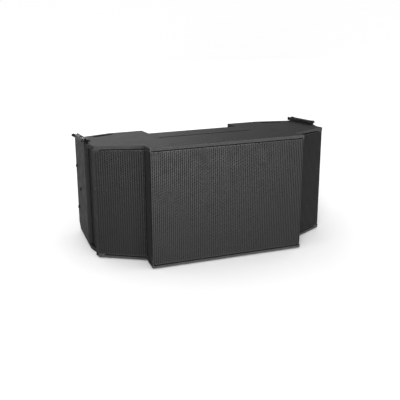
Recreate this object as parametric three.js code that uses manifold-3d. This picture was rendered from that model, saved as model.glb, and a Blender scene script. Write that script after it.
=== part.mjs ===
// Wedge-shaped line array loudspeaker module, in millimetres, +Z up.
//
// The cabinet is drawn in its own module frame: X across the front, Y towards the back, Z along
// the front face, with the floor panel and the roof panel each leaning by half the wedge angle.
// The whole group is then leant back by that half angle, so that the floor panel lies flat.
import * as THREE from "three";
import { mergeVertices } from "three/addons/utils/BufferGeometryUtils.js";
import Module from "manifold-3d";

const wasm = await Module();
wasm.setup();

// ---------------------------------------------------------------- driving dimensions
const WEDGE = THREE.MathUtils.degToRad(4.8); // half of the module's splay
const FRONT_HEIGHT = 470.5; // outer height of the front face
const BOARD = 15; // plywood
const FLOOR_BOARD = 18; // thicker, for wear
const SKID = 4; // the floor's lowest layer
const SKID_INSET = 10; // how far it stands back from the floor's edges
const LIP = 10; // visible front edges of the roof and floor, between their rebates
const REBATE = 12; // how far the rebates above and below the grilles go in
const REBATE_END = 5; // from the ends of the centre's rebates to its sides
const WING_REBATE_END = 18;
const SHEET = 1.5; // perforated steel
const GAP = 0.3; // left between touching pieces
const REVEAL = 3.5; // how far the roof and floor overhang the walls
const WING_RETURN = 42; // the wing grille's bent end, along the side wall
const GRILLE_SET = 1.5; // how far the grilles stand back from the edges of the roof and floor

// Plan outline, right half, from the middle of the front round to the middle of the back.
const CENTRE_HALF = 312; // half width of the projecting centre
const WING_INNER_Y = 76; // where the slanted wing leaves the centre box
const SIDE_X = 483;
const WING_OUTER_Y = 158;
const SIDE_END_Y = 443;
const REAR_CORNER_X = 338;
const DEPTH = 500;
const NOTCH_HALF = 198;
const NOTCH_Y = 396;

// The roof and floor reach past the walls at the sides, and carry the steel side plates.
const LEDGE_X = 494;
const LEDGE_START_Y = 205; // the ledge widens from here
const LEDGE_FRONT_Y = 240; // to here

// Rigging
const PLATE_OUT_X = 498.5; // outer face of the side plate
const PLATE_THICK = 4;
const PLATE_FRONT_Y = 258;
const PLATE_REAR_Y = 438;
const PLATE_BOLTS = [[420, 322], [363, 237], [420, 146]]; // [y, z]
const BOLT_R = 4;
const CLEARANCE_R = 4.3; // hole round an 8 mm bolt
const RAIL_START = 262; // distances along the roof, from the front edge
const RAIL_END = 466;
const RAIL_IN_X = 480;
const RAIL_WALL = 3;
const RAIL_HEIGHT = 15;
const PIVOT_HEIGHT = 9.2; // link pivots and pins above the roof's surface
const LINKS = [
  { name: "front", pivot: 290, reach: 1, pin: 271 },
  { name: "rear", pivot: 422, reach: -1, pin: 456 },
];
const LINK_SPACING = 55;
const LINK_NOTCH = 16; // in the floor, along Y
const LINK_R = 5.5;
const LINK_THICK = 6;
const PIN_R = 3;
const PIN_HOLE_R = 3.3;

// Low-frequency drivers
const WOOFER_X = 333;
const WOOFER_Y = 165;
const WOOFER_Z = 238;
const FRAME_R = 130;
const CONE_R = 92;
const BAFFLE_HOLE_R = 116;

// High-frequency section
const MOUTH_Y = 15;
const THROAT_X = 24;
const THROAT_Y = 236;
const GUIDE_THICK = 11;
const MANIFOLD_DEPTH = 26;
const HF_PITCH = 94;
const HF_COUNT = 4;
const HF_R = 44;

const tanWedge = Math.tan(WEDGE);
const roof = (y) => FRONT_HEIGHT - tanWedge * y;
const floor = (y) => tanWedge * y;
const ceiling = (y) => roof(y) - BOARD - GAP; // tops of the pieces that stand inside
const ground = (y) => floor(y) + FLOOR_BOARD + GAP;
const midHeight = FRONT_HEIGHT / 2;

// ---------------------------------------------------------------- materials
const finish = (color, roughness, metalness = 0) =>
  new THREE.MeshStandardMaterial({ color, roughness, metalness, flatShading: true });
const paintedWood = finish(0x4a4a4b, 0.55);
const rawWood = finish(0x8a7350, 0.8);
const grilleSteel = finish(0x3c3c3d, 0.5, 0.3);
const riggingSteel = finish(0x454546, 0.45, 0.5);
const boltSteel = finish(0x1c1c1d, 0.4, 0.6);
const foam = finish(0x101010, 0.95);
const blackPlastic = finish(0x202021, 0.6);
const castMetal = finish(0x2b2b2c, 0.5, 0.6);
const ferrite = finish(0x303032, 0.6, 0.3);
const paperCone = finish(0x1b1b1c, 0.9);
const rubber = finish(0x141414, 0.8);
const circuitBoard = finish(0x1f5a36, 0.6);

// ---------------------------------------------------------------- shapes
function piece(name, geometry, material) {
  const mesh = new THREE.Mesh(geometry, material);
  mesh.name = name;
  return mesh;
}

// A solid standing on a plan outline, between two heights that depend on y only.
function prism(outline, low, high, holes = []) {
  const ring = (points, clockwise) => {
    const made = points.map(([x, y]) => new THREE.Vector2(x, y));
    return THREE.ShapeUtils.isClockWise(made) === clockwise ? made : made.reverse();
  };
  const rings = [ring(outline, false), ...holes.map((hole) => ring(hole, true))];
  const corners = rings.flat();
  const count = corners.length;
  const at = [...corners.map((p) => [p.x, p.y, low(p.y)]), ...corners.map((p) => [p.x, p.y, high(p.y)])];
  const index = [];
  for (const [a, b, c] of THREE.ShapeUtils.triangulateShape(rings[0], rings.slice(1))) {
    index.push(c, b, a, a + count, b + count, c + count);
  }
  let first = 0;
  for (const side of rings) {
    side.forEach((_, i) => {
      const a = first + i;
      const b = first + ((i + 1) % side.length);
      index.push(a, b, b + count, a, b + count, a + count);
    });
    first += side.length;
  }
  const geometry = new THREE.BufferGeometry();
  geometry.setAttribute("position", new THREE.Float32BufferAttribute(at.flat(), 3));
  return geometry.setIndex(index);
}

function box(x0, x1, y0, y1, z0, z1) {
  const geometry = new THREE.BoxGeometry(x1 - x0, y1 - y0, z1 - z0);
  return geometry.translate((x0 + x1) / 2, (y0 + y1) / 2, (z0 + z1) / 2);
}

// A turned solid about +X or -Y. The profile is [along, radius] pairs and starts and ends at radius 0,
// or closes on itself for a ring.
function turned(profile, sides, axis) {
  const points = profile.map(([along, r]) => new THREE.Vector2(r, along));
  if (THREE.ShapeUtils.isClockWise(points)) points.reverse();
  if (points[0].x > 0) points.push(points[0]);
  const geometry = new THREE.LatheGeometry(points, sides);
  return axis === "x" ? geometry.rotateZ(-Math.PI / 2) : geometry.rotateX(Math.PI);
}

function rod(x0, x1, y, z, r, sides = 16) {
  const geometry = new THREE.CylinderGeometry(r, r, x1 - x0, sides).rotateZ(-Math.PI / 2);
  return geometry.translate((x0 + x1) / 2, y, z);
}

// Boolean cuts and joins.
function toSolid(geometry) {
  const bare = (geometry.index ? geometry.toNonIndexed() : geometry.clone());
  bare.deleteAttribute("normal");
  bare.deleteAttribute("uv");
  const merged = mergeVertices(bare, 1e-3);
  return new wasm.Manifold(new wasm.Mesh({
    numProp: 3,
    vertProperties: merged.attributes.position.array,
    triVerts: new Uint32Array(merged.index.array),
  }));
}

function fromSolid(solid) {
  const mesh = solid.getMesh();
  const geometry = new THREE.BufferGeometry();
  geometry.setAttribute("position", new THREE.BufferAttribute(new Float32Array(mesh.vertProperties), 3));
  return geometry.setIndex(new THREE.BufferAttribute(new Uint32Array(mesh.triVerts), 1));
}

const cut = (body, ...tools) => fromSolid(tools.reduce((left, tool) => left.subtract(toSolid(tool)), toSolid(body)));
const join = (body, ...more) => fromSolid(more.reduce((sum, extra) => sum.add(toSolid(extra)), toSolid(body)));

// ---------------------------------------------------------------- plan outline
const RIGHT_OUTLINE = [
  [CENTRE_HALF, 0],
  [CENTRE_HALF, WING_INNER_Y],
  [SIDE_X, WING_OUTER_Y],
  [SIDE_X, SIDE_END_Y],
  [REAR_CORNER_X, DEPTH],
  [NOTCH_HALF, DEPTH],
  [NOTCH_HALF, NOTCH_Y],
];
const mirrorX = (points) => points.map(([x, y]) => [-x, y]);
const bothHalves = (right) => [...right, ...mirrorX(right).reverse()];
const OUTLINE = bothHalves(RIGHT_OUTLINE); // of the walls
const LEDGE_END_Y = SIDE_END_Y - ((LEDGE_X - SIDE_X) * (DEPTH - SIDE_END_Y)) / (SIDE_X - REAR_CORNER_X);
const RIGHT_DECK = [
  ...RIGHT_OUTLINE.slice(0, 3),
  [SIDE_X, LEDGE_START_Y],
  [LEDGE_X, LEDGE_FRONT_Y],
  [LEDGE_X, LEDGE_END_Y],
  ...RIGHT_OUTLINE.slice(4),
];
const DECK = bothHalves(RIGHT_DECK); // of the roof and floor
const CORNER = { centre: 0, wingInner: 1, wingOuter: 2, sideEnd: 3, rearCorner: 4, notchRim: 5, notchFloor: 6 };

// An outline's corner i, moved inwards so that both of its edges lie `inset` further in.
function insetCorner(i, inset, outline = OUTLINE) {
  const count = outline.length;
  const here = new THREE.Vector2(...outline[i]);
  const before = here.clone().sub(new THREE.Vector2(...outline[(i + count - 1) % count])).normalize();
  const after = new THREE.Vector2(...outline[(i + 1) % count]).sub(here).normalize();
  const inward = (along) => new THREE.Vector2(-along.y, along.x);
  const bisector = inward(before).add(inward(after));
  const scale = inset / bisector.dot(inward(before));
  return here.addScaledVector(bisector, scale);
}

// A strip along the edge from corner i to the next one, between two insets, with mitred ends.
function edgeStrip(i, near, far, endGap = GAP) {
  const next = (i + 1) % OUTLINE.length;
  const [a, b, c, d] = [insetCorner(i, near), insetCorner(next, near), insetCorner(next, far), insetCorner(i, far)];
  const along = b.clone().sub(a).normalize().multiplyScalar(endGap);
  a.add(along);
  d.add(along);
  b.sub(along);
  c.sub(along);
  return [a, b, c, d].map((p) => [p.x, p.y]);
}

const wall = (corner) => prism(edgeStrip(corner, REVEAL, REVEAL + BOARD), ground, ceiling);

// ---------------------------------------------------------------- roof and floor
// The hand slots lie along the rear corners of the roof.
const SLOT_LENGTH = 95;
const SLOT_WIDTH = 28;
const SLOT_INSET = 37; // from the rear corner's edge to the slot's middle line
const POCKET_DEPTH = 58;
const POCKET_WALL = 3;
const cornerRun = new THREE.Vector2(REAR_CORNER_X - SIDE_X, DEPTH - SIDE_END_Y);
const cornerAngle = Math.atan2(-cornerRun.y, -cornerRun.x); // of the slot's length, right side
const slotMiddle = new THREE.Vector2(SIDE_X, SIDE_END_Y).addScaledVector(cornerRun, 0.6)
  .add(new THREE.Vector2(-cornerRun.y, cornerRun.x).normalize().multiplyScalar(SLOT_INSET));

// A long hole or bar with round ends, about the slot's middle, `grown` wider than the slot all round.
function slotOutline(grown = 0, steps = 6) {
  const radius = SLOT_WIDTH / 2 + grown;
  const half = (SLOT_LENGTH - SLOT_WIDTH) / 2;
  const points = [];
  for (const [end, start] of [[half, -Math.PI / 2], [-half, Math.PI / 2]]) {
    for (let i = 0; i <= steps; i++) {
      const turn = start + (Math.PI * i) / steps;
      points.push(new THREE.Vector2(end + radius * Math.cos(turn), radius * Math.sin(turn)));
    }
  }
  const centre = new THREE.Vector2();
  return points.map((p) => p.rotateAround(centre, cornerAngle).add(slotMiddle)).map((p) => [p.x, p.y]);
}

const GROOVE = { y: 250, half: 198, width: 10, depth: 6 }; // routed across the roof

// Bands along the front and the wings that leave a shadow line above and below the grilles.
function rebates(low, high) {
  const overshoot = -2;
  const end = CENTRE_HALF - REBATE_END;
  const front = [[-end, overshoot], [end, overshoot], [end, REBATE], [-end, REBATE]];
  const [start, outer, outerInside, startInside] = edgeStrip(CORNER.wingInner, overshoot, REBATE, 0);
  const shorten = ([x, y]) => [x - WING_REBATE_END * wingAlong.x, y - WING_REBATE_END * wingAlong.y];
  const wing = [start, shorten(outer), shorten(outerInside), startInside];
  return [front, wing, mirrorX(wing)].map((outline) => prism(outline, low, high));
}

function roofPanel() {
  const slab = prism(DECK, (y) => roof(y) - BOARD, roof, [slotOutline(), mirrorX(slotOutline())]);
  const grooveTop = roof(GROOVE.y) - GROOVE.depth;
  const front = GROOVE.y - GROOVE.width / 2;
  const groove = box(-GROOVE.half, GROOVE.half, front, front + GROOVE.width, grooveTop, grooveTop + BOARD);
  return cut(slab, groove, ...rebates((y) => roof(y) - 2 * BOARD, (y) => roof(y) - LIP));
}

// The floor's lowest layer stands back all round, so that its edges stay clear of the ground.
function floorSlab() {
  const skid = DECK.map((_, i) => insetCorner(i, SKID_INSET, DECK)).map((p) => [p.x, p.y]);
  const skidTop = (y) => floor(y) + SKID;
  const overlap = 1;
  return join(prism(DECK, skidTop, (y) => floor(y) + FLOOR_BOARD), prism(skid, floor, (y) => skidTop(y) + overlap));
}

// The floor has a notch in each ledge for every link of the module below.
function floorPanel() {
  const wide = LEDGE_X + 1 - RAIL_IN_X - RAIL_WALL;
  const middle = RAIL_IN_X + RAIL_WALL + wide / 2;
  const notches = LINKS.flatMap(({ pivot }) => [-middle, middle].map((x) =>
    new THREE.BoxGeometry(wide, LINK_NOTCH, 4 * BOARD).translate(x, pivot, floor(pivot))));
  const lipTop = (y) => floor(y) + FLOOR_BOARD - BOARD + LIP;
  return cut(floorSlab(), ...rebates(lipTop, (y) => floor(y) + 2 * BOARD), ...notches);
}

// A moulded pocket hanging below each hand slot.
function handlePocket() {
  const top = (y) => ceiling(y);
  const bottom = (y) => ceiling(y) - POCKET_DEPTH;
  const shell = prism(slotOutline(POCKET_WALL + 1), bottom, top);
  return cut(shell, prism(slotOutline(1), (y) => bottom(y) + POCKET_WALL, (y) => top(y) + BOARD));
}

// ---------------------------------------------------------------- grilles and foam
const FLANGE = 14;
const GRILLE_INSIDE = GRILLE_SET + SHEET;

function centreGrille() {
  const outer = CENTRE_HALF - GRILLE_SET;
  const inner = outer - SHEET;
  const tray = [[outer, FLANGE], [outer, GRILLE_SET], [-outer, GRILLE_SET], [-outer, FLANGE], [-inner, FLANGE],
    [-inner, GRILLE_INSIDE], [inner, GRILLE_INSIDE], [inner, FLANGE]];
  return prism(tray, ground, ceiling);
}

function wingGrille() {
  const [start, tip, tipInside, startInside] = edgeStrip(CORNER.wingInner, GRILLE_SET, GRILLE_INSIDE, 0);
  const endY = WING_OUTER_Y + WING_RETURN;
  return prism([[start[0] + 1, start[1] + 0.5], tip, [tip[0], endY], [tipInside[0], endY], tipInside,
    [startInside[0] + 2, startInside[1] + 1]], ground, ceiling);
}

const FOAM_NEAR = GRILLE_INSIDE + GAP;
const FOAM_FAR = FOAM_NEAR + 8;
const centreFoam = () => {
  const half = CENTRE_HALF - GRILLE_INSIDE - GAP;
  return prism([[-half, FOAM_NEAR], [half, FOAM_NEAR], [half, FOAM_FAR], [-half, FOAM_FAR]], ground, ceiling);
};
const wingFoam = () => prism(edgeStrip(CORNER.wingInner, FOAM_NEAR, FOAM_FAR, 0.6), ground, ceiling);

// The side walls of the centre box.
function cheek() {
  const [outer, inner] = [insetCorner(CORNER.wingInner, REVEAL), insetCorner(CORNER.wingInner, REVEAL + BOARD)];
  const front = FOAM_FAR + GAP;
  return prism([[outer.x, front], [outer.x, outer.y], [inner.x, inner.y], [inner.x, front]], ground, ceiling);
}

// ---------------------------------------------------------------- high-frequency section
// One side of the waveguide: it leaves the throat steeply and flattens towards the mouth.
function waveguidePanel() {
  const mouthX = CENTRE_HALF - REVEAL - BOARD - GAP;
  const face = new THREE.QuadraticBezierCurve(
    new THREE.Vector2(THROAT_X, THROAT_Y),
    new THREE.Vector2(THROAT_X + 0.36 * (mouthX - THROAT_X), THROAT_Y - 0.46 * (THROAT_Y - MOUTH_Y)),
    new THREE.Vector2(mouthX, MOUTH_Y),
  );
  const steps = 6;
  const front = [];
  const back = [];
  for (let i = 0; i <= steps; i++) {
    const point = face.getPoint(i / steps);
    const along = face.getTangent(i / steps);
    front.push([point.x, point.y]);
    const behind = [point.x - along.y * GUIDE_THICK, point.y + along.x * GUIDE_THICK];
    back.push([Math.min(behind[0], mouthX), Math.min(behind[1], THROAT_Y + 2 - GAP)]);
  }
  return prism([...front, ...back.reverse()], ground, ceiling);
}

// The block that gathers the compression drivers into one tall slot.
function throatManifold() {
  const half = HF_R + 6;
  const front = THROAT_Y + 2;
  const back = front + MANIFOLD_DEPTH;
  const outline = [[-half, front], [half, front], [half, back], [-half, back]];
  const block = prism(outline, ground, ceiling);
  const slotHeight = HF_PITCH * HF_COUNT - 20;
  const slot = box(-8, 8, front - 1, front + 14, midHeight - slotHeight / 2, midHeight + slotHeight / 2);
  const ports = hfHeights().map((z) =>
    new THREE.CylinderGeometry(12, 12, MANIFOLD_DEPTH + 4, 16).translate(0, (front + back) / 2, z));
  return cut(block, slot, ...ports);
}

function hfHeights() {
  return Array.from({ length: HF_COUNT }, (_, i) => midHeight + (i - (HF_COUNT - 1) / 2) * HF_PITCH);
}

// A compression driver, turned about Y, with its exit at the front.
function compressionDriver() {
  const profile = [[0, 0], [0, HF_R], [9, HF_R], [9, 38], [34, 38], [34, 34], [50, 31], [54, 26], [54, 0]];
  const body = new THREE.LatheGeometry(profile.map(([along, r]) => new THREE.Vector2(r, along)), 20);
  return cut(body, new THREE.CylinderGeometry(12, 12, 12, 16).translate(0, 5, 0));
}

// ---------------------------------------------------------------- low-frequency section
const wingAlong = new THREE.Vector2(SIDE_X - CENTRE_HALF, WING_OUTER_Y - WING_INNER_Y).normalize();
const wingTurn = wingAlong.angle();

// The baffle stands parallel to the wing, behind the waveguide, with the driver's hole cut square to it.
function wooferBaffle() {
  const insideX = SIDE_X - REVEAL - BOARD - GAP;
  const slope = wingAlong.y / wingAlong.x;
  const faceY = (x) => WOOFER_Y + (x - WOOFER_X) * slope;
  const innerX = 208;
  const back = BOARD / wingAlong.x;
  const outline = [[innerX, faceY(innerX)], [insideX, faceY(insideX)], [insideX, faceY(insideX) + back],
    [innerX - BOARD * wingAlong.y, faceY(innerX) + BOARD * wingAlong.x]];
  const hole = new THREE.CylinderGeometry(BAFFLE_HOLE_R, BAFFLE_HOLE_R, 4 * BOARD, 28);
  return cut(prism(outline, ground, ceiling), hole.rotateZ(wingTurn).translate(WOOFER_X, WOOFER_Y, WOOFER_Z));
}

// Woofer parts are turned about their own axis: along is measured forwards from the baffle's face.
function wooferFrame() {
  const shell = turned([[GAP, 108], [5, 108], [5, FRAME_R], [GAP, FRAME_R], [GAP, 113], [-20, 106], [-62, 64],
    [-66, 64], [-66, 36], [-62, 36], [-62, 60], [-20, 102], [-6, 108]], 28, "y");
  const windows = [0, 1, 2, 3].map((i) => {
    const opening = new THREE.BoxGeometry(70, 28, 130).translate(0, 40, 92);
    return opening.rotateY((i * Math.PI) / 2 + Math.PI / 4);
  });
  return cut(shell, ...windows);
}
const wooferMagnet = () => turned([[-66.4, 24], [-66.4, 10], [-104, 10], [-104, 60], [-100, 74], [-80, 78],
  [-74, 78], [-74, 60], [-66.4, 60], [-66.4, 29], [-92, 29], [-92, 24]], 24, "y");
const wooferCone = () => turned([[-20, 0], [-22, 12], [-31, 24.6], [-78, 25.6], [-78, 27], [-35, 27], [5.2, CONE_R],
  [6.8, CONE_R], [6.8, CONE_R - 2], [-28.5, 27], [-20, 12.5], [-18, 0]], 24, "y");
const wooferSurround = () => turned([[5.3, 93], [5.3, 96], [11, 99], [13, 103], [11, 107], [5.3, 110.5], [5.3, 121],
  [7, 121], [7, 111.5], [13, 108], [15, 103], [13, 98], [6.8, 94.5], [6.8, 93]], 24, "y");

function placeWoofer(side) {
  const woofer = new THREE.Group();
  woofer.position.set(WOOFER_X, WOOFER_Y, WOOFER_Z);
  woofer.rotation.z = wingTurn;
  woofer.add(
    piece(`${side}_woofer_frame`, wooferFrame(), castMetal),
    piece(`${side}_woofer_magnet`, wooferMagnet(), ferrite),
    piece(`${side}_woofer_cone`, wooferCone(), paperCone),
    piece(`${side}_woofer_surround`, wooferSurround(), rubber),
  );
  return woofer;
}

// ---------------------------------------------------------------- rigging
const plateInX = PLATE_OUT_X - PLATE_THICK;
const wallOutX = SIDE_X - REVEAL;

function sideWall() {
  const holes = PLATE_BOLTS.map(([y, z]) => rod(wallOutX - BOARD - 1, wallOutX + 1, y, z, CLEARANCE_R, 12));
  return cut(wall(CORNER.wingOuter), ...holes);
}

// The outer steel plate, with a flange that closes its front, welded bosses that hold it off the side
// wall, and holes for the pins that catch the links of the module below.
function sidePlate() {
  const cornerCut = 22;
  const low = (y) => floor(y) + 15;
  const outline = [[PLATE_FRONT_Y, low(PLATE_FRONT_Y)], [PLATE_REAR_Y - cornerCut, low(PLATE_REAR_Y - cornerCut)],
    [PLATE_REAR_Y, low(PLATE_REAR_Y) + cornerCut], [PLATE_REAR_Y, roof(PLATE_REAR_Y) - GAP],
    [PLATE_FRONT_Y, roof(PLATE_FRONT_Y) - GAP]];
  const shape = new THREE.Shape(outline.map(([y, z]) => new THREE.Vector2(y, z)));
  const sheet = new THREE.ExtrudeGeometry(shape, { depth: PLATE_THICK, bevelEnabled: false });
  sheet.applyMatrix4(new THREE.Matrix4().makeBasis(new THREE.Vector3(0, 1, 0), new THREE.Vector3(0, 0, 1),
    new THREE.Vector3(1, 0, 0))).translate(plateInX, 0, 0);
  const flange = prism([[wallOutX + 2, PLATE_FRONT_Y], [plateInX + 1, PLATE_FRONT_Y],
    [plateInX + 1, PLATE_FRONT_Y + PLATE_THICK], [wallOutX + 2, PLATE_FRONT_Y + PLATE_THICK]], ground, ceiling);
  const bosses = PLATE_BOLTS.map(([y, z]) => rod(wallOutX + GAP, plateInX + 1, y, z, 9, 12));
  const boltHoles = PLATE_BOLTS.map(([y, z]) => rod(wallOutX - 1, PLATE_OUT_X + 1, y, z, CLEARANCE_R, 12));
  const catchHoles = LINKS.map(({ pivot }) =>
    rod(plateInX - 1, PLATE_OUT_X + 1, pivot, floor(pivot) + PIVOT_HEIGHT + LINK_SPACING, PIN_HOLE_R, 12));
  return cut(join(sheet, flange, ...bosses), ...boltHoles, ...catchHoles);
}

// A button-head bolt from outside the plate, through its boss, into the side wall.
function plateBolt() {
  const tip = wallOutX - BOARD + 3;
  const face = PLATE_OUT_X + GAP;
  return turned([[tip, 0], [tip, BOLT_R], [face, BOLT_R], [face, 7.5], [face + 2.5, 7.5], [face + 4.5, 5],
    [face + 4.5, 0]], 12, "x");
}

// The rail is an upright channel on the roof, above the gap between the wall and the plate.
function rail() {
  const body = box(RAIL_IN_X, PLATE_OUT_X, RAIL_START, RAIL_END, GAP, RAIL_HEIGHT);
  const inside = box(RAIL_IN_X + RAIL_WALL, PLATE_OUT_X - RAIL_WALL, RAIL_START - 1, RAIL_END + 1,
    GAP + RAIL_WALL, RAIL_HEIGHT + 1);
  const holes = LINKS.flatMap(({ pivot, pin }) =>
    [pivot, pin].map((along) => rod(RAIL_IN_X - 1, PLATE_OUT_X + 1, along, PIVOT_HEIGHT, PIN_HOLE_R, 12)));
  return cut(body, inside, ...holes);
}

// A swing link: a bar with a hole at its free end and a trunnion that turns in the rail's walls.
function link(reach) {
  const outline = new THREE.Shape();
  outline.absarc(0, 0, LINK_R, Math.PI / 2, (3 * Math.PI) / 2);
  outline.absarc(LINK_SPACING, 0, LINK_R, -Math.PI / 2, Math.PI / 2);
  const hole = new THREE.Path();
  hole.absarc(LINK_SPACING, 0, PIN_HOLE_R, 0, 2 * Math.PI, true);
  outline.holes.push(hole);
  const bar = new THREE.ExtrudeGeometry(outline, { depth: LINK_THICK, bevelEnabled: false, curveSegments: 8 });
  bar.rotateY(Math.PI / 2).rotateX(Math.PI / 2).translate(-LINK_THICK / 2, 0, 0);
  if (reach < 0) bar.rotateX(Math.PI);
  const half = (PLATE_OUT_X - RAIL_IN_X) / 2 + 0.8;
  return join(bar, rod(-half, half, 0, 0, PIN_R, 16));
}

// A quick-release pin across the rail, with its head outside.
function releasePin() {
  const head = PLATE_OUT_X + GAP;
  return turned([[RAIL_IN_X - 5, 0], [RAIL_IN_X - 4, PIN_R - 1], [RAIL_IN_X - 3, PIN_R], [head, PIN_R],
    [head, 7], [head + 3, 7], [head + 3, 5.5], [head + 7, 5.5], [head + 9, 4], [head + 9, 0]], 14, "x");
}

function placeRigging(side) {
  const onRoof = new THREE.Group();
  onRoof.position.z = FRONT_HEIGHT;
  onRoof.rotation.x = -WEDGE;
  onRoof.add(piece(`${side}_rail`, rail(), boltSteel));
  for (const { name, pivot, reach, pin } of LINKS) {
    const bar = piece(`${side}_${name}_link`, link(reach), boltSteel);
    bar.position.set((RAIL_IN_X + PLATE_OUT_X) / 2, pivot, PIVOT_HEIGHT);
    const lock = piece(`${side}_${name}_pin`, releasePin(), boltSteel);
    lock.position.set(0, pin, PIVOT_HEIGHT);
    onRoof.add(bar, lock);
  }
  const rigging = new THREE.Group();
  rigging.add(onRoof, piece(`${side}_side_plate`, sidePlate(), riggingSteel));
  PLATE_BOLTS.forEach(([y, z], i) => {
    const bolt = piece(`${side}_plate_bolt_${i + 1}`, plateBolt(), boltSteel);
    bolt.position.set(0, y, z);
    rigging.add(bolt);
  });
  return rigging;
}

// ---------------------------------------------------------------- rear panel and electronics
const PLATE_HALF_WIDTH = 95; // input plate
const PLATE_HALF_HEIGHT = 62;
const INPUT_Z = 205;
const CUTOUT_MARGIN = 12;
const CONNECTOR_X = 42;
const wallBackY = NOTCH_Y - REVEAL; // outer face of the middle rear wall

function middleRearWall() {
  const halfWide = PLATE_HALF_WIDTH - CUTOUT_MARGIN;
  const halfTall = PLATE_HALF_HEIGHT - CUTOUT_MARGIN;
  const opening = box(-halfWide, halfWide, wallBackY - 2 * BOARD, wallBackY + BOARD, INPUT_Z - halfTall,
    INPUT_Z + halfTall);
  return cut(wall(CORNER.notchFloor), opening);
}

function inputPlate() {
  const inside = wallBackY + GAP;
  const sheet = box(-PLATE_HALF_WIDTH, PLATE_HALF_WIDTH, inside, inside + 2, INPUT_Z - PLATE_HALF_HEIGHT,
    INPUT_Z + PLATE_HALF_HEIGHT);
  const holes = [-CONNECTOR_X, CONNECTOR_X].map((x) =>
    new THREE.CylinderGeometry(14, 14, 12, 20).translate(x, inside, INPUT_Z));
  return cut(sheet, ...holes);
}

// A round twist-lock socket behind a square flange.
function connector() {
  const flangeY = wallBackY + GAP + 2 + GAP;
  const flange = box(-18, 18, flangeY, flangeY + 3, -18, 18);
  const barrel = new THREE.CylinderGeometry(13.5, 13.5, 34, 20).translate(0, flangeY - 14, 0);
  const socket = new THREE.CylinderGeometry(12.2, 12.2, 24, 20).translate(0, flangeY - 7, 0);
  const core = new THREE.CylinderGeometry(5.5, 5.5, 30, 12).translate(0, flangeY - 16, 0);
  return join(cut(join(flange, barrel), socket), core);
}

// The crossover board, on the inside of the middle rear wall, with its coils and capacitors.
function crossoverBoard() {
  const back = wallBackY - BOARD - GAP;
  const left = -NOTCH_HALF + 4;
  const right = -PLATE_HALF_WIDTH - 4;
  const middle = (left + right) / 2;
  const board = box(left, right, back - 8, back - 6, 110, 320);
  const feet = [130, 300].map((z) => box(middle - 5, middle + 5, back - 7, back, z - 5, z + 5));
  const coils = [150, 215].map((z) => new THREE.CylinderGeometry(24, 24, 24, 18).translate(middle, back - 19, z));
  const caps = [-24, 0, 24].map((x) =>
    new THREE.CylinderGeometry(9, 9, 46, 12).rotateX(Math.PI / 2).translate(middle + x, back - 16, 275));
  return join(board, ...feet, ...coils, ...caps);
}

// ---------------------------------------------------------------- assembly
function halfCabinet(side) {
  const half = new THREE.Group();
  half.scale.x = side === "left" ? -1 : 1;
  half.add(
    piece(`${side}_cheek`, cheek(), paintedWood),
    piece(`${side}_side_wall`, sideWall(), paintedWood),
    piece(`${side}_rear_corner_wall`, wall(CORNER.sideEnd), paintedWood),
    piece(`${side}_rear_wall`, wall(CORNER.rearCorner), paintedWood),
    piece(`${side}_notch_wall`, wall(CORNER.notchRim), paintedWood),
    piece(`${side}_handle_pocket`, handlePocket(), blackPlastic),
    piece(`${side}_grille`, wingGrille(), grilleSteel),
    piece(`${side}_grille_foam`, wingFoam(), foam),
    piece(`${side}_waveguide_panel`, waveguidePanel(), blackPlastic),
    piece(`${side}_woofer_baffle`, wooferBaffle(), rawWood),
    placeWoofer(side),
    placeRigging(side),
  );
  return half;
}

const cabinet = new THREE.Group();
cabinet.add(
  piece("roof_panel", roofPanel(), paintedWood),
  piece("floor_panel", floorPanel(), paintedWood),
  piece("middle_rear_wall", middleRearWall(), paintedWood),
  piece("centre_grille", centreGrille(), grilleSteel),
  piece("centre_grille_foam", centreFoam(), foam),
  piece("throat_manifold", throatManifold(), castMetal),
  piece("input_plate", inputPlate(), riggingSteel),
  piece("crossover_board", crossoverBoard(), circuitBoard),
  halfCabinet("left"),
  halfCabinet("right"),
);
hfHeights().forEach((z, i) => {
  const driver = piece(`compression_driver_${i + 1}`, compressionDriver(), castMetal);
  driver.position.set(0, THROAT_Y + 2 + MANIFOLD_DEPTH + GAP, z);
  cabinet.add(driver);
});
[["input_connector", -CONNECTOR_X], ["link_connector", CONNECTOR_X]].forEach(([name, x]) => {
  const socket = piece(name, connector(), blackPlastic);
  socket.position.set(x, 0, INPUT_Z);
  cabinet.add(socket);
});

// Lean the module back onto its floor panel, and centre it over the origin.
cabinet.rotation.x = -WEDGE;
const module = new THREE.Group();
module.add(cabinet);
module.updateMatrixWorld(true);
const extent = new THREE.Box3().setFromObject(module, true);
cabinet.position.y = -(extent.min.y + extent.max.y) / 2;

export default module;
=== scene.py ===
"""Looks of a wedge-shaped line array loudspeaker module, in metres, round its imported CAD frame."""

import math

import bmesh
import bpy
from mathutils import Matrix, Vector


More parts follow.
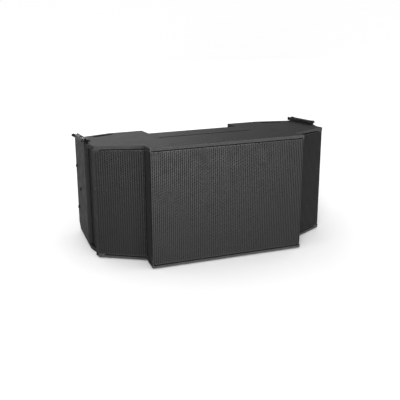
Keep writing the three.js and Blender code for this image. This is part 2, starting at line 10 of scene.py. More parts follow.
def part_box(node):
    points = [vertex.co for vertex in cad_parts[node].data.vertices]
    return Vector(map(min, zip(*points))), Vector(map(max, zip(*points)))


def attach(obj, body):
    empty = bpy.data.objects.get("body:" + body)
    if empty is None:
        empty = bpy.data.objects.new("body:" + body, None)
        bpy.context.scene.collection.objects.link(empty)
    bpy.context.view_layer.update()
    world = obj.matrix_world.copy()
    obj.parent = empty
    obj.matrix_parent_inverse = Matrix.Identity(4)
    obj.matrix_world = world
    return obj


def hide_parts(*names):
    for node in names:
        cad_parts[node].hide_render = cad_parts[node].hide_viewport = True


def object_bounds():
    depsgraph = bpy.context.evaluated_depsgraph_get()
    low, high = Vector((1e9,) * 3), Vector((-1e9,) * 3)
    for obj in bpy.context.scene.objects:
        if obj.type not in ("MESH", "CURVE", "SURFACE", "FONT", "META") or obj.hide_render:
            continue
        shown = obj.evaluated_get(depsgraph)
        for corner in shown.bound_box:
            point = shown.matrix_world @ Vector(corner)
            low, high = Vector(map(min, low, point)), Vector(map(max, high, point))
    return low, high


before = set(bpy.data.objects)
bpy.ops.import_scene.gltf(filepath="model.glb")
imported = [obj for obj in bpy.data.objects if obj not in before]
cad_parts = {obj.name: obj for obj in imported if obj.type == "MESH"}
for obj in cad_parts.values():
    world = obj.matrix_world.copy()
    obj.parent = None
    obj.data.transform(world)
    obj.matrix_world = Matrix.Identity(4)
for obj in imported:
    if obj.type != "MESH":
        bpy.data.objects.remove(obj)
cad_low, cad_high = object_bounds()
MM = 0.001
SIDES = (("left", -1), ("right", 1))
EDGE_ANGLE = math.radians(35)  # edges sharper than this are rounded
SHARP_ANGLE = 0.6  # radians; edges sharper than this aren't smoothed over

# ---------------------------------------------------------------- the module's own frame
# X across the front, Y towards the back and Z along the front face, which leans back by WEDGE.
WEDGE = math.radians(4.8)
SKID = 4 * MM  # the floor's edges start this far above the ground
REVEAL = 3.5 * MM  # the roof and floor reach this far past the walls
SLOPE = math.tan(WEDGE)
LEAN = Matrix.Rotation(-WEDGE, 4, "X")
FRONT_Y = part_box("floor_panel")[0].y - SKID * math.sin(WEDGE)
MODULE = Matrix.Translation((0, FRONT_Y, 0)) @ LEAN


def module_points(node):
    to_module = MODULE.inverted()
    return [to_module @ v.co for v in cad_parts[node].data.vertices]


def module_box(node):
    points = module_points(node)
    return (Vector(map(min, zip(*points))), Vector(map(max, zip(*points))))


FRONT_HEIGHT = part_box("roof_panel")[1].z / math.cos(WEDGE)
LEDGE_X = module_box("floor_panel")[1].x


def roof(y):
    return FRONT_HEIGHT - SLOPE * y


def floor(y):
    return SLOPE * y


# ---------------------------------------------------------------- materials
class Finish:
    """A material and short ways to add nodes to it. Patterns are laid out in metres."""

    def __init__(self, name, roughness=0.5, metallic=0.0, specular=0.5):
        self.material = bpy.data.materials.new(name)
        self.material.use_nodes = True
        self.tree = self.material.node_tree
        self.shader = self.tree.nodes["Principled BSDF"]
        self.shader.inputs["Roughness"].default_value = roughness
        self.shader.inputs["Metallic"].default_value = metallic
        self.shader.inputs["Specular IOR Level"].default_value = specular
        self.place = self.add("ShaderNodeTexCoord").outputs["Object"]

    def add(self, kind, **settings):
        node = self.tree.nodes.new(kind)
        for key, value in settings.items():
            setattr(node, key, value)
        return node

    def join(self, output, target):
        self.tree.links.new(output, target)

    def stretched(self, scale):
        node = self.add("ShaderNodeMapping")
        node.inputs["Scale"].default_value = scale
        self.join(self.place, node.inputs["Vector"])
        return node.outputs["Vector"]

    def noise(self, size, detail=3.0, rough=0.5, place=None):
        node = self.add("ShaderNodeTexNoise")
        node.inputs["Scale"].default_value = 1 / size
        node.inputs["Detail"].default_value = detail
        node.inputs["Roughness"].default_value = rough
        self.join(place or self.place, node.inputs["Vector"])
        return node.outputs["Fac"]

    def cells(self, size, feature="F1"):
        node = self.add("ShaderNodeTexVoronoi", feature=feature)
        node.inputs["Scale"].default_value = 1 / size
        self.join(self.place, node.inputs["Vector"])
        return node.outputs["Distance"]

    def edges(self, reach):
        """1 along edges and corners, fading to 0 on flat faces `reach` away from them."""
        rounded = self.add("ShaderNodeBevel", samples=6)
        rounded.inputs["Radius"].default_value = reach
        agreement = self.add("ShaderNodeVectorMath", operation="DOT_PRODUCT")
        self.join(rounded.outputs["Normal"], agreement.inputs[0])
        self.join(self.add("ShaderNodeNewGeometry").outputs["Normal"], agreement.inputs[1])
        return self.between(agreement.outputs["Value"], 0.99, 0.85, 0, 1)

    def between(self, value, low, high, out_low, out_high):
        node = self.add("ShaderNodeMapRange")
        self.join(value, node.inputs["Value"])
        for key, number in zip(("From Min", "From Max", "To Min", "To Max"), (low, high, out_low, out_high)):
            node.inputs[key].default_value = number
        return node.outputs["Result"]

    def times(self, a, b):
        node = self.add("ShaderNodeMath", operation="MULTIPLY")
        self.join(a, node.inputs[0])
        if isinstance(b, float):
            node.inputs[1].default_value = b
        else:
            self.join(b, node.inputs[1])
        return node.outputs[0]

    def plus(self, a, b):
        node = self.add("ShaderNodeMath", operation="ADD")
        self.join(a, node.inputs[0])
        self.join(b, node.inputs[1])
        return node.outputs[0]

    def colours(self, value, *stops):
        """Colour from a value: stops are (position, (r, g, b))."""
        node = self.add("ShaderNodeValToRGB")
        ramp = node.color_ramp
        while len(ramp.elements) < len(stops):
            ramp.elements.new(1.0)
        for element, (position, rgb) in zip(ramp.elements, stops):
            element.position = position
            element.color = (*rgb, 1)
        self.join(value, node.inputs["Fac"])
        return node.outputs["Color"]

    def mix(self, share, a, b):
        node = self.add("ShaderNodeMix", data_type="RGBA")
        self.join(share, node.inputs[0])
        for socket, colour in ((node.inputs[6], a), (node.inputs[7], b)):
            if isinstance(colour, tuple):
                socket.default_value = (*colour, 1)
            else:
                self.join(colour, socket)
        return node.outputs[2]

    def colour(self, output):
        self.join(output, self.shader.inputs["Base Color"])
        return self

    def roughness(self, output):
        self.join(output, self.shader.inputs["Roughness"])
        return self

    def relief(self, height, depth, strength=1.0):
        node = self.add("ShaderNodeBump")
        node.inputs["Distance"].default_value = depth
        node.inputs["Strength"].default_value = strength
        self.join(height, node.inputs["Height"])
        self.join(node.outputs["Normal"], self.shader.inputs["Normal"])
        return self


def grey(value, warm=0.0):
    return (value * (1 + warm), value, value * (1 + 0.03 - warm))


def textured_paint():
    """Rolled protective paint on plywood: small round blobs, with the edges painted lighter, as a painted
    highlight where they catch the light and as rubbed wear.
    """
    paint = Finish("textured_paint", specular=0.03)
    blotches = paint.noise(0.16, 4, 0.6)
    blobs = paint.cells(2.2 * MM, "SMOOTH_F1")
    pits = paint.noise(0.9 * MM, 2)
    base = paint.colours(blotches, (0.3, grey(0.013)), (0.7, grey(0.014)))
    # painted highlight and rubbed wear: edges and lips are painted much lighter (grey 0.11 against 0.013),
    # broken up by noise
    lighter_edges = paint.times(paint.edges(3 * MM), paint.between(paint.noise(0.03, 4, 0.7), 0.35, 0.65, 0.25, 0.9))
    paint.colour(paint.mix(lighter_edges, base, grey(0.11)))
    paint.roughness(paint.between(paint.noise(0.05, 5, 0.6), 0.3, 0.7, 0.6, 0.64))
    height = paint.plus(blobs, paint.times(pits, 0.35))
    return paint.relief(height, 0.35 * MM, 0.55).material


def powder_coat(name, value, rough, specular):
    """Powder coat on steel sheet and plate: a fine orange peel."""
    coat = Finish(name, specular=specular)
    base = coat.colours(coat.noise(0.08, 3, 0.6), (0.3, grey(value * 0.93)), (0.7, grey(value * 1.07)))
    lighter_edges = coat.times(coat.edges(0.5 * MM), coat.between(coat.noise(0.012, 4, 0.7), 0.45, 0.65, 0.0, 0.7))
    coat.colour(coat.mix(lighter_edges, base, grey(value * 2.1)))
    coat.roughness(coat.between(coat.noise(0.03, 4, 0.6), 0.3, 0.7, rough - 0.06, rough + 0.08))
    return coat.relief(coat.noise(1.1 * MM, 2), 0.12 * MM, 0.5).material


def black_oxide():
    """Blackened steel, rubbed a little lighter on its edges."""
    steel = Finish("black_oxide", metallic=0.1, specular=0.08)
    base = steel.colours(steel.noise(0.006, 4, 0.6), (0.3, grey(0.003)), (0.7, grey(0.006)))
    lighter_edges = steel.times(steel.edges(1.5 * MM), steel.between(steel.noise(0.004, 3), 0.4, 0.6, 0.1, 0.8))
    steel.colour(steel.mix(lighter_edges, base, grey(0.045)))
    steel.roughness(steel.between(steel.noise(0.003, 3), 0.3, 0.7, 0.42, 0.56))
    return steel.relief(steel.noise(0.6 * MM, 2), 0.05 * MM, 0.4).material


def open_foam():
    """Reticulated foam: round cells with thin struts between them, with painted shade in the hollow middle of
    each cell.
    """
    foam = Finish("open_foam", roughness=1.0, specular=0.02)
    cells = foam.cells(1.6 * MM, "DISTANCE_TO_EDGE")
    # painted shade: each cell is darker towards its sunken middle and lighter on the struts
    foam.colour(foam.colours(cells, (0.0, grey(0.006)), (0.25, grey(0.002))))
    return foam.relief(cells, -0.8 * MM, 1.0).material


def moulded_plastic():
    """Black plastic with the fine grain of its mould."""
    plastic = Finish("moulded_plastic", specular=0.5)
    plastic.colour(plastic.colours(plastic.noise(0.02, 3), (0.3, grey(0.018)), (0.7, grey(0.024))))
    plastic.roughness(plastic.between(plastic.noise(0.01, 3), 0.3, 0.7, 0.42, 0.55))
    return plastic.relief(plastic.noise(0.35 * MM, 2), 0.05 * MM, 0.6).material


def cast_aluminium():
    """Painted casting with the dimples of its mould."""
    metal = Finish("cast_aluminium", metallic=0.3)
    metal.colour(metal.colours(metal.noise(0.03, 4), (0.3, grey(0.035)), (0.7, grey(0.05))))
    metal.roughness(metal.between(metal.noise(0.01, 4), 0.3, 0.7, 0.5, 0.65))
    return metal.relief(metal.cells(1.0 * MM), 0.15 * MM, 0.5).material


def ferrite():
    """Fired ceramic magnet: dull, dark and grainy."""
    magnet = Finish("ferrite", metallic=0.1)
    magnet.colour(magnet.colours(magnet.noise(0.005, 5, 0.7), (0.3, grey(0.05)), (0.7, grey(0.11))))
    magnet.roughness(magnet.between(magnet.noise(0.004, 3), 0.3, 0.7, 0.5, 0.75))
    return magnet.relief(magnet.noise(0.8 * MM, 4), 0.1 * MM, 0.5).material


def paper_pulp():
    """Pressed paper with matted fibres."""
    paper = Finish("paper_pulp", roughness=0.85, specular=0.2)
    fibres = paper.noise(0.9 * MM, 6, 0.75)
    paper.colour(paper.colours(fibres, (0.3, grey(0.013)), (0.7, grey(0.026))))
    return paper.relief(fibres, 0.2 * MM, 0.7).material


def rubber():
    """Smooth black rubber."""
    skin = Finish("rubber", specular=0.4)
    skin.colour(skin.colours(skin.noise(0.01, 3), (0.3, grey(0.010)), (0.7, grey(0.015))))
    skin.roughness(skin.between(skin.noise(0.005, 3), 0.3, 0.7, 0.5, 0.62))
    return skin.relief(skin.noise(0.5 * MM, 2), 0.03 * MM, 0.4).material


def plywood():
    """Sanded birch with its grain upright."""
    wood = Finish("plywood", roughness=0.6)
    grain = wood.noise(0.012, 5, 0.6, place=wood.stretched((1, 1, 0.08)))
    wood.colour(wood.colours(grain, (0.3, (0.36, 0.25, 0.14)), (0.7, (0.55, 0.42, 0.26))))
    return wood.relief(grain, 0.1 * MM, 0.4).material


def circuit_board():
    """Green solder mask over lighter tracks."""
    board = Finish("circuit_board", roughness=0.4)
    tracks = board.cells(0.008, "DISTANCE_TO_EDGE")
    board.colour(board.colours(tracks, (0.0, (0.03, 0.16, 0.07)), (0.12, (0.01, 0.07, 0.03))))
    return board.relief(tracks, 0.05 * MM, 0.5).material


FINISHES = {
    "textured_paint_on_plywood": textured_paint(),
    "bare_plywood": plywood(),
    "acoustic_foam": open_foam(),
    "perforated_steel": powder_coat("grille_coat", 0.0042, 0.46, 0.095),
    "painted_steel": powder_coat("rigging_coat", 0.0075, 0.6, 0.075),
    "black_steel": black_oxide(),
    "moulded_plastic": moulded_plastic(),
    "cast_aluminium": cast_aluminium(),
    "ferrite_magnet": ferrite(),
    "paper_cone": paper_pulp(),
    "rubber_surround": rubber(),
    "circuit_board": circuit_board(),
}


# ---------------------------------------------------------------- making pieces
def add_piece(name, mesh, body, finish, replaced=()):
    """Adds a piece that moves with a body and shows in place of the CAD nodes in `replaced`."""
    mesh.set_sharp_from_angle(angle=SHARP_ANGLE)
    piece = bpy.data.objects.new(name, mesh)
    bpy.context.scene.collection.objects.link(piece)
    mesh.materials.append(FINISHES[finish])
    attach(piece, body)
    if replaced:
        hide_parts(*replaced)
    return piece


def mesh_from(name, points, faces, place=MODULE):
    mesh = bpy.data.meshes.new(name)
    mesh.from_pydata([place @ Vector(p) for p in points], [], faces)
    mesh.validate()
    for polygon in mesh.polygons:
        polygon.use_smooth = True
    return mesh


def round_at(radius):
    return lambda angle: radius


def hexagon_at(across):
    """Distance from the middle to the side of a hexagon, by angle."""
    sixth = math.pi / 3
    return lambda angle: across / 2 / math.cos(angle % sixth - sixth / 2)


def turned_mesh(name, profile, place, count):
    """A solid turned about its own Z. The profile is (height, radius or radius by angle), and starts
    and ends on the axis with radius 0, or closes on itself when it starts off the axis."""
    ring = not (profile[0][1] == 0 and profile[-1][1] == 0)
    points = []
    rows = []
    for height, radius in profile:
        if radius == 0:
            rows.append([len(points)] * count)
            points.append((0, 0, height))
            continue
        at = radius if callable(radius) else round_at(radius)
        rows.append(list(range(len(points), len(points) + count)))
        for i in range(count):
            angle = 2 * math.pi * i / count
            points.append((at(angle) * math.cos(angle), at(angle) * math.sin(angle), height))
    faces = []
    for k in range(len(rows) if ring else len(rows) - 1):
        low, high = rows[k], rows[(k + 1) % len(rows)]
        for i in range(count):
            j = (i + 1) % count
            corners = [low[i], low[j], high[j], high[i]]
            faces.append(list(dict.fromkeys(corners)))
    mesh = mesh_from(name, points, faces, place)
    work = bmesh.new()
    work.from_mesh(mesh)
    bmesh.ops.recalc_face_normals(work, faces=work.faces)
    work.to_mesh(mesh)
    work.free()
    return mesh


def arc(height, radius, size, start, end, steps):
    """Profile points round a corner: centre (height, radius), angles in degrees from the axis."""
    angles = [math.radians(start + (end - start) * i / steps) for i in range(steps + 1)]
    return [(height + size * math.cos(a), radius + size * math.sin(a)) for a in angles]


def axis_place(node, axis):
    """A frame on a turned CAD node's axis, with Z along the axis and its origin at the node's near end."""
    axis = Vector(axis).normalized()
    points = [v.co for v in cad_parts[node].data.vertices]
    centre = (Vector(map(min, zip(*points))) + Vector(map(max, zip(*points)))) / 2
    near = min(p.dot(axis) for p in points)
    origin = centre + axis * (near - centre.dot(axis))
    return Matrix.Translation(origin) @ axis.to_track_quat("Z", "Y").to_matrix().to_4x4()


def dress(node, finish, bevel=0.0, segments=2):
    """Gives a CAD node its finish, and rounds its edges by `bevel`."""
    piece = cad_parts[node]
    piece.data.materials.clear()
    piece.data.materials.append(FINISHES[finish])
    weld = piece.modifiers.new("weld", "WELD")
    weld.merge_threshold = 1e-5
    if bevel:
        flat = piece.modifiers.new("flat", "DECIMATE")
        flat.decimate_type = "DISSOLVE"
        flat.angle_limit = math.radians(1)
        edges = piece.modifiers.new("edges", "BEVEL")
        edges.width = bevel
        edges.segments = segments
        edges.limit_method = "ANGLE"
        edges.angle_limit = EDGE_ANGLE
        edges.harden_normals = True
        shade = piece.modifiers.new("shade", "WEIGHTED_NORMAL")
        shade.keep_sharp = True
    return piece


# ---------------------------------------------------------------- grilles
SHEET = 1.5 * MM
COLUMN = 7.66 * MM  # from one upright column of holes to the next
HOLE_PITCH = 5.9 * MM  # up a column; the next column is half a pitch higher
HOLE_R = 2.75 * MM  # to the corners of the hexagon
HOLE_EDGE = 1.2 * MM  # plain steel round the holes
WING_COARSE = 1.13  # the wings' holes against the centre's
FOLD_R = 2.2 * MM
FOLD_STEPS = 4


def upright(plan, z):
    return (plan.x, plan.y, z)


class PerforatedSheet:
    """A folded steel sheet standing on a plan path, with staggered columns of hexagonal holes.

    The path is the sheet's outer face, from left to right seen from outside. `low` and `high` give the
    sheet's bottom and top from y, and `coarse` makes the holes larger."""

    def __init__(self, path, perforated, low, high, coarse=1.0):
        self.path = [Vector(p) for p in path]
        self.low, self.high = low, high
        self.column, self.pitch, self.radius = COLUMN * coarse, HOLE_PITCH * coarse, HOLE_R * coarse
        self.points = []
        self.faces = []
        self.lines = []
        flats = self.lay_lines()
        self.corners = [self.line_points(outer, inner) for outer, inner in self.lines]
        for i in range(len(self.lines) - 1):
            if i in flats and perforated[flats[i]]:
                self.perforated_panel(i)
            else:
                self.plain_strip(i)
            self.rim(i)
        self.end(self.corners[0], 1)
        self.end(self.corners[-1], -1)

    def point(self, plan, z):
        self.points.append(upright(plan, z))
        return len(self.points) - 1

    def face(self, loop, side=0):
        """Side 0 is the outer face of the sheet, and side 1 is the inner face."""
        self.faces.append(loop if side == 0 else loop[::-1])

    def lay_lines(self):
        """Upright lines where flats meet folds. Returns {line: flat} for the lines that start a flat."""
        flats = {}
        last = len(self.path) - 2
        begin = self.path[0]
        for i in range(last + 1):
            end = self.path[i + 1]
            along = (end - self.path[i]).normalized()
            inward = Vector((-along.y, along.x))
            turn = 0.0
            if i < last:
                after = (self.path[i + 2] - end).normalized()
                turn = math.atan2(along.x * after.y - along.y * after.x, along.dot(after))
            reach = FOLD_R * math.tan(turn / 2)
            flats[len(self.lines)] = i
            self.lines.append((begin, begin + inward * SHEET))
            final = end - along * reach
            self.lines.append((final, final + inward * SHEET))
            if i < last:
                centre = final + inward * FOLD_R
                for k in range(1, FOLD_STEPS):
                    spoke = Matrix.Rotation(turn * k / FOLD_STEPS, 2) @ -inward
                    self.lines.append((centre + spoke * FOLD_R, centre + spoke * (FOLD_R - SHEET)))
                begin = end + after * reach
        return flats

    def line_points(self, outer, inner):
        """For the outer and the inner face: the line's bottom and top points."""
        bottom, top = self.low(outer.y), self.high(outer.y)
        return [(self.point(plan, bottom), self.point(plan, top)) for plan in (outer, inner)]

    def plain_strip(self, i):
        for side in (0, 1):
            (a, d), (b, c) = self.corners[i][side], self.corners[i + 1][side]
            self.face([a, b, c, d], side)

    def rim(self, i):
        """The sheet's bottom and top edges between two lines."""
        (a, a_top), (a_in, a_in_top) = self.corners[i]
        (b, b_top), (b_in, b_in_top) = self.corners[i + 1]
        self.face([a, a_in, b_in, b])
        self.face([a_top, b_top, b_in_top, a_in_top])

    def end(self, corners, outward):
        (a, a_top), (b, b_top) = corners
        loop = [a, a_top, b_top, b]
        self.face(loop if outward > 0 else loop[::-1])

    def perforated_panel(self, i):
        start, end = self.lines[i][0], self.lines[i + 1][0]
        along = (end - start).normalized()
        inward = Vector((-along.y, along.x)) * SHEET
        length = (end - start).length
        first = HOLE_EDGE + self.radius
        count = round((length - 2 * first) / self.column) + 1
        spacing = (length - 2 * first) / (count - 1)
        middle = FRONT_HEIGHT / 2
        half_step = self.pitch / 2
        reach = self.radius * math.cos(math.pi / 6) + HOLE_EDGE
        centres = {}
        for k in range(count):
            plan = start + along * (first + k * spacing)
            lowest = math.ceil((self.low(plan.y) + reach - middle) / half_step)
            highest = math.floor((self.high(plan.y) - reach - middle) / half_step)
            for h in range(lowest, highest + 1):
                if (h - k) % 2 == 0:
                    centres[k, h] = (plan, middle + h * half_step)
        rims = []
        for side in (0, 1):
            offset = inward * side
            holes = {}
            for key, (plan, z) in centres.items():
                holes[key] = []
                for n in range(6):
                    angle = math.pi / 3 * n
                    corner = plan + along * (self.radius * math.cos(angle)) + offset
                    holes[key].append(self.point(corner, z + self.radius * math.sin(angle)))
            loops = self.lattice(holes)
            for loop in loops:
                self.face(loop, side)
            self.border(i, side, holes, loops)
            rims.append(holes)
        for key, front in rims[0].items():
            back = rims[1][key]
            for n in range(6):
                m = (n + 1) % 6
                self.face([front[n], front[m], back[m], back[n]])

    def lattice(self, holes):
        """The steel between neighbouring holes."""
        loops = []
        for (k, h), rim in holes.items():
            above = holes.get((k, h + 2))
            right_up = holes.get((k + 1, h + 1))
            right_down = holes.get((k + 1, h - 1))
            left_up = holes.get((k - 1, h + 1))
            if above:
                loops.append([rim[2], rim[1], above[5], above[4]])
            if right_up:
                loops.append([rim[0], right_up[4], right_up[3], rim[1]])
            if right_down:
                loops.append([rim[5], right_down[3], right_down[2], rim[0]])
            if above and right_up:
                loops.append([rim[1], right_up[3], above[5]])
            if above and left_up:
                loops.append([left_up[0], rim[2], above[4]])
        return loops

    def border(self, i, side, holes, loops):
        """Fills between the lattice's outside and the panel's four edges."""
        step = {}
        for loop in [*loops, *holes.values()]:
            for a, b in zip(loop, loop[1:] + loop[:1]):
                if step.get(b) is not None and a in step[b]:
                    step[b].discard(a)
                else:
                    step.setdefault(a, set()).add(b)
        outside = {a: next(iter(ends)) for a, ends in step.items() if ends}
        (a, d), (b, c) = self.corners[i][side], self.corners[i + 1][side]
        corners = [a, b, c, d]
        nearest = [min(outside, key=lambda p: self.apart(p, corner)) for corner in corners]
        for n in range(4):
            m = (n + 1) % 4
            run = [nearest[n]]
            while run[-1] != nearest[m]:
                run.append(outside[run[-1]])
            self.face([corners[n], corners[m], *run[::-1]], side)

    def apart(self, a, b):
        return (Vector(self.points[a]) - Vector(self.points[b])).length

    def mesh(self, name, mirrored=False):
        flip = -1 if mirrored else 1
        points = [(flip * x, y, z) for x, y, z in self.points]
        faces = [loop[::-1] for loop in self.faces] if mirrored else self.faces
        return mesh_from(name, points, faces)


centre_low, centre_high = module_box("centre_grille")
SHEET_BOTTOM = centre_low.z - SLOPE * centre_low.y
SHEET_TOP = centre_high.z + SLOPE * centre_low.y


def sheet_low(y):
    return SHEET_BOTTOM + SLOPE * y


def sheet_high(y):
    return SHEET_TOP - SLOPE * y


def make_grilles():
    half, front, back = centre_high.x, centre_low.y, centre_high.y
    path = [(-half, back), (-half, front), (half, front), (half, back)]
    centre = PerforatedSheet(path, (False, True, False), sheet_low, sheet_high)
    add_piece("centre_grille_sheet", centre.mesh("centre_grille_sheet"), "cabinet", "perforated_steel",
              ["centre_grille"])

    points = module_points("right_grille")
    outer = max(p.x for p in points)
    tip = min(p.y for p in points if p.x > outer - 0.1 * MM)
    start = min(points, key=lambda p: p.y)
    end = max(p.y for p in points)
    path = [(start.x, start.y), (outer, tip), (outer, end)]
    for side, sign in SIDES:
        wing = PerforatedSheet(path, (True, True), sheet_low, sheet_high, WING_COARSE)
        name = f"{side}_grille_sheet"
        add_piece(name, wing.mesh(name, mirrored=sign < 0), "cabinet", "perforated_steel", [f"{side}_grille"])


make_grilles()
for name in ("centre_grille_foam", "left_grille_foam", "right_grille_foam"):
    dress(name, "acoustic_foam", 1.5 * MM)

# ---------------------------------------------------------------- cabinet
for name in ("roof_panel", "floor_panel"):
    panel = dress(name, "textured_paint_on_plywood", 2 * MM, 3)
    panel.modifiers["edges"].use_clamp_overlap = False
dress("middle_rear_wall", "textured_paint_on_plywood", 0.8 * MM)
for side, _ in SIDES:
    for wall in ("cheek", "side_wall", "rear_corner_wall", "rear_wall", "notch_wall"):
        dress(f"{side}_{wall}", "textured_paint_on_plywood", 0.8 * MM)
    dress(f"{side}_handle_pocket", "moulded_plastic", 1.0 * MM)
    dress(f"{side}_waveguide_panel", "moulded_plastic", 0.8 * MM)
    dress(f"{side}_woofer_baffle", "bare_plywood", 0.8 * MM)
    dress(f"{side}_woofer_frame", "cast_aluminium", 0.8 * MM)
    dress(f"{side}_woofer_magnet", "ferrite_magnet", 0.8 * MM)
    dress(f"{side}_woofer_cone", "paper_cone")
    dress(f"{side}_woofer_surround", "rubber_surround")
    dress(f"{side}_side_plate", "painted_steel", 0.8 * MM)
    dress(f"{side}_rail", "black_steel", 0.7 * MM)
    for end in ("front", "rear"):
        dress(f"{side}_{end}_link", "black_steel", 0.6 * MM)
dress("throat_manifold", "cast_aluminium", 0.8 * MM)
for i in range(4):
    dress(f"compression_driver_{i + 1}", "cast_aluminium", 0.8 * MM)
dress("crossover_board", "circuit_board", 0.4 * MM)
dress("input_plate", "painted_steel", 0.5 * MM)


# ---------------------------------------------------------------- fasteners and pins
def button_head(seat, radius, height, socket):
    """Profile of a domed head with a hexagon socket, above the height `seat`."""
    floor_of_socket = seat + height * 0.35
    return [
        (seat, radius * 0.97),
        (seat + height * 0.22, radius),
        (seat + height * 0.62, radius * 0.86),
        (seat + height * 0.88, radius * 0.66),
        (seat + height, radius * 0.48),
        (seat + height, hexagon_at(socket)),
        (floor_of_socket, hexagon_at(socket)),
        (floor_of_socket - 0.2 * MM, 0),
    ]


def make_bolts():
    """Each side plate's bolts: a shank, a washer and a button head."""
    shank_r, washer_r, washer, head_r, head = 4 * MM, 8.6 * MM, 0.9 * MM, 7.2 * MM, 3.5 * MM
    for side, sign in SIDES:
        for number in (1, 2, 3):
            node = f"{side}_plate_bolt_{number}"
            low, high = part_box(node)
            under_head = high.x - low.x - head
            seat = under_head - 1 * MM
            profile = [(0, 0), (0, shank_r - 0.8 * MM), (0.8 * MM, shank_r), (seat, shank_r),
                       (seat, washer_r), (seat + washer, washer_r), (seat + washer, 7 * MM)]
            profile += button_head(under_head, head_r, head, 4.6 * MM)
            mesh = turned_mesh(node + "_head", profile, axis_place(node, (sign, 0, 0)), 48)
            add_piece(node + "_head", mesh, "cabinet", "black_steel", [node])


def knurl(angle):
    """Radius of the ribbed grip on a pin's button."""
    return (5.45 + 0.16 * math.cos(24 * angle)) * MM


def make_pins():
    """The quick-release pins: a nosed shank, a flange, a knurled grip and a push button."""
    shank_r, flange_r, button_r, head = 3 * MM, 7 * MM, 3.9 * MM, 9 * MM
    for side, sign in SIDES:
        for end in ("front", "rear"):
            node = f"{side}_{end}_pin"
            low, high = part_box(node)
            tip = high.x - low.x
            seat = tip - head
            profile = [(0, 0), (0, 1.6 * MM), (0.9 * MM, 2.3 * MM), (2 * MM, shank_r), (seat, shank_r),
                       (seat, flange_r - 0.4 * MM), (seat + 0.4 * MM, flange_r), (seat + 2.6 * MM, flange_r),
                       (seat + 3 * MM, flange_r - 0.4 * MM), (seat + 3 * MM, 5.2 * MM),
                       (seat + 3.4 * MM, knurl), (seat + 6.6 * MM, knurl), (seat + 7 * MM, 5.1 * MM),
                       (seat + 7 * MM, button_r), (tip - 0.5 * MM, button_r),
                       (tip, button_r - 0.5 * MM), (tip, 0)]
            mesh = turned_mesh(node + "_body", profile, axis_place(node, (sign, 0, 0)), 96)
            add_piece(node + "_body", mesh, f"{side}_{end}_pin", "black_steel", [node])


make_bolts()
make_pins()


def on_roof(x, y, lift=0.0):
    """A frame with Z square to the roof, `lift` above it."""
    return MODULE @ Matrix.Translation((x, y, roof(y))) @ Matrix.Rotation(-WEDGE, 4, "X") \
        @ Matrix.Translation((0, 0, lift))


def facing_back(x, y, z):
    return MODULE @ Matrix.Translation((x, y, z)) @ Matrix.Rotation(-math.pi / 2, 4, "X")


def facing_side(sign, x, y, z):
    return MODULE @ Matrix.Translation((sign * x, y, z)) @ Matrix.Rotation(sign * math.pi / 2, 4, "Y")


def screw(name, place, radius, height, socket):
    """A button-head screw, with the start of its shank below the surface and its head above."""
    profile = [(-5 * MM, 0), (-4 * MM, radius * 0.35), (0, radius * 0.45)]
    profile += button_head(0, radius, height, socket)
    add_piece(name, turned_mesh(name, profile, place, 36), "cabinet", "black_steel")


def stud(name, place, radius, height):
    """A plain turned button that sits against the edge of a panel."""
    corner = height * 0.45
    profile = [(-6 * MM, 0), (-6 * MM, radius * 0.5), (0, radius * 0.5), (0, radius)]
    profile += arc(height - corner, radius - corner, corner, 90, 0, 5)
    profile += [(height, radius * 0.35), (height * 0.85, radius * 0.3), (height * 0.85, 0)]
    add_piece(name, turned_mesh(name, profile, place, 40), "cabinet", "black_steel")


# places on the roof, as x on the right side and y
RAIL_SCREW_YS = (0.281, 0.356, 0.446)  # measured along the sloping roof
LEDGE_SCREW = (0.4865, 0.2475)
ROOF_BOLTS = ((0.466, 0.305), (0.466, 0.421))
STUD_Y = 0.174
STUD_R, STUD_HEIGHT = 4.6 * MM, 4.5 * MM
GROOVE_Y, GROOVE_HALF = 0.25, 0.1975


def make_cabinet_hardware():
    """Buttons on the side edges of the roof and floor, and the screws in the rails and roof."""
    side_x = max(p.x for p in module_points("right_side_wall")) + REVEAL
    stud_heights = {"roof": roof(STUD_Y) - 5.2 * MM, "floor": floor(STUD_Y) + 8.5 * MM}
    rail_low, rail_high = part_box("right_rail")
    rail_x = (rail_low.x + rail_high.x) / 2
    for side, sign in SIDES:
        for panel, z in stud_heights.items():
            stud(f"{side}_{panel}_stud", facing_side(sign, side_x, STUD_Y, z), STUD_R, STUD_HEIGHT)
        for number, along in enumerate(RAIL_SCREW_YS, 1):
            place = on_roof(sign * rail_x, along * math.cos(WEDGE), 3.3 * MM)
            screw(f"{side}_rail_screw_{number}", place, 3.6 * MM, 1.6 * MM, 2.4 * MM)
        x, y = LEDGE_SCREW
        screw(f"{side}_ledge_screw", on_roof(sign * x, y), 4.4 * MM, 2.6 * MM, 3 * MM)
        for number, (x, y) in enumerate(ROOF_BOLTS, 1):
            screw(f"{side}_roof_bolt_{number}", on_roof(sign * x, y), 5.5 * MM, 3 * MM, 3.6 * MM)


def make_input_hardware():
    """Eight screws round the input plate and four round each connector."""
    low, high = module_box("input_plate")
    middle = (low + high) / 2
    half = (high - low) / 2 - Vector((1, 1, 1)) * 7 * MM
    ring = [(i, j) for i in (-1, 0, 1) for j in (-1, 0, 1) if i or j]
    for number, (i, j) in enumerate(ring, 1):
        place = facing_back(middle.x + i * half.x, high.y, middle.z + j * half.z)
        screw(f"input_plate_screw_{number}", place, 3.8 * MM, 1.9 * MM, 2.5 * MM)
    from_middle = 14.4 * MM
    for name in ("input_connector", "link_connector"):
        dress(name, "moulded_plastic", 0.6 * MM)
        low, high = module_box(name)
        middle = (low + high) / 2
        corners = [(i, j) for i in (-1, 1) for j in (-1, 1)]
        for number, (i, j) in enumerate(corners, 1):
            place = facing_back(middle.x + i * from_middle, high.y, middle.z + j * from_middle)
            screw(f"{name}_screw_{number}", place, 2.3 * MM, 1.2 * MM, 1.6 * MM)


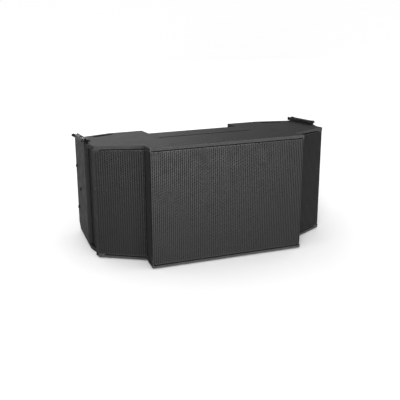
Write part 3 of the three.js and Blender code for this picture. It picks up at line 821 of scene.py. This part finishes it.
def make_groove_shade_strip():
    """A dark strip sunk in the groove across the roof, with the rubber finish: painted shade that darkens the
    groove.
    """
    wide, tall, below = 9.4 * MM, 3.2 * MM, 2.4 * MM
    work = bmesh.new()
    bmesh.ops.create_cube(work, size=1.0)
    bmesh.ops.scale(work, vec=(2 * GROOVE_HALF, wide, tall), verts=work.verts)
    bmesh.ops.bevel(work, geom=work.edges, offset=0.7 * MM, segments=3, profile=0.5, affect="EDGES")
    bmesh.ops.transform(work, matrix=on_roof(0, GROOVE_Y, -below - tall / 2), verts=work.verts)
    mesh = bpy.data.meshes.new("roof_groove_shade_strip")
    work.to_mesh(mesh)
    work.free()
    add_piece("roof_groove_shade_strip", mesh, "cabinet", "rubber_surround")


make_cabinet_hardware()
# painted shade: a dark strip laid in the roof's groove darkens it
make_groove_shade_strip()
make_input_hardware()


# ---------------------------------------------------------------- camera, light and floor
def make_camera():
    """The camera stands in the module's own frame, in front, to the left and above."""
    yaw, pitch, roll = (math.radians(a) for a in (20.55, 17.56, -0.17))
    camera = bpy.data.cameras.new("camera")
    camera.sensor_width = 36
    camera.lens = 63.7
    view = bpy.data.objects.new("camera", camera)
    aim = Matrix.Rotation(-yaw, 4, "Z") @ Matrix.Rotation(math.pi / 2 - pitch, 4, "X")
    eye = Matrix.Translation((-1.0112, -2.3748, 1.0579))
    view.matrix_world = MODULE @ eye @ aim @ Matrix.Rotation(roll, 4, "Z")
    bpy.context.scene.collection.objects.link(view)
    bpy.context.scene.camera = view


def add_light(name, kind, azimuth, elevation, power):
    """A lamp that faces the object. Azimuth 0 is in front, and 90 is on the object's right."""
    a, e = math.radians(azimuth), math.radians(elevation)
    away = Vector((math.sin(a) * math.cos(e), -math.cos(a) * math.cos(e), math.sin(e)))
    lamp = bpy.data.lights.new(name, kind)
    lamp.energy = power
    light = bpy.data.objects.new(name, lamp)
    light.rotation_mode = "QUATERNION"
    light.rotation_quaternion = away.to_track_quat("Z", "Y")
    bpy.context.scene.collection.objects.link(light)
    return light, away


def softbox(name, azimuth, elevation, distance, size, power):
    light, away = add_light(name, "AREA", azimuth, elevation, power)
    light.data.shape = "RECTANGLE"
    light.data.size, light.data.size_y = size
    light.location = (cad_low + cad_high) / 2 + away * distance
    return light


def sun(name, azimuth, elevation, spread, power):
    light, _ = add_light(name, "SUN", azimuth, elevation, power)
    light.data.angle = math.radians(spread)


def make_floor():
    reach = 60.0
    clearance = 0.3 * MM
    corners = [(-reach, -reach), (reach, -reach), (reach, reach), (-reach, reach)]
    ground = bpy.data.meshes.new("studio_floor")
    ground.from_pydata([(x, y, -clearance) for x, y in corners], [], [(0, 1, 2, 3)])
    plane = bpy.data.objects.new("studio_floor", ground)
    bpy.context.scene.collection.objects.link(plane)
    pale = Finish("studio_pale", roughness=0.9, specular=0.0)
    pale.colour(pale.colours(pale.noise(0.5, 2), (0.0, (0.94, 0.94, 0.94)), (1.0, (0.95, 0.95, 0.95))))
    ground.materials.append(pale.material)
    return plane


def keep_off(light, plane):
    """Stops a light from falling on the floor, so that the cabinet's own shadow stays there."""
    unlit = bpy.data.collections.new("flagged_floor")
    unlit.objects.link(plane)
    unlit.collection_objects[0].light_linking.link_state = "EXCLUDE"
    light.light_linking.receiver_collection = unlit


def make_studio():
    plane = make_floor()
    world = bpy.data.worlds.new("studio")
    bpy.context.scene.world = world
    world.use_nodes = True
    background = world.node_tree.nodes["Background"]
    background.inputs["Color"].default_value = (1, 1, 1, 1)
    background.inputs["Strength"].default_value = 1.0
    sun("overhead", -10, 75, 80, 0.14)
    key = softbox("key", 10, 3.5, 5.0, (2.6, 0.55), 800)
    softbox("fill", -29, 4, 5.0, (1.6, 0.55), 330)
    softbox("back", 178, 14, 3.4, (1.8, 0.5), 27)
    keep_off(key, plane)
    bpy.context.scene.view_settings.view_transform = "Standard"


make_camera()
make_studio()
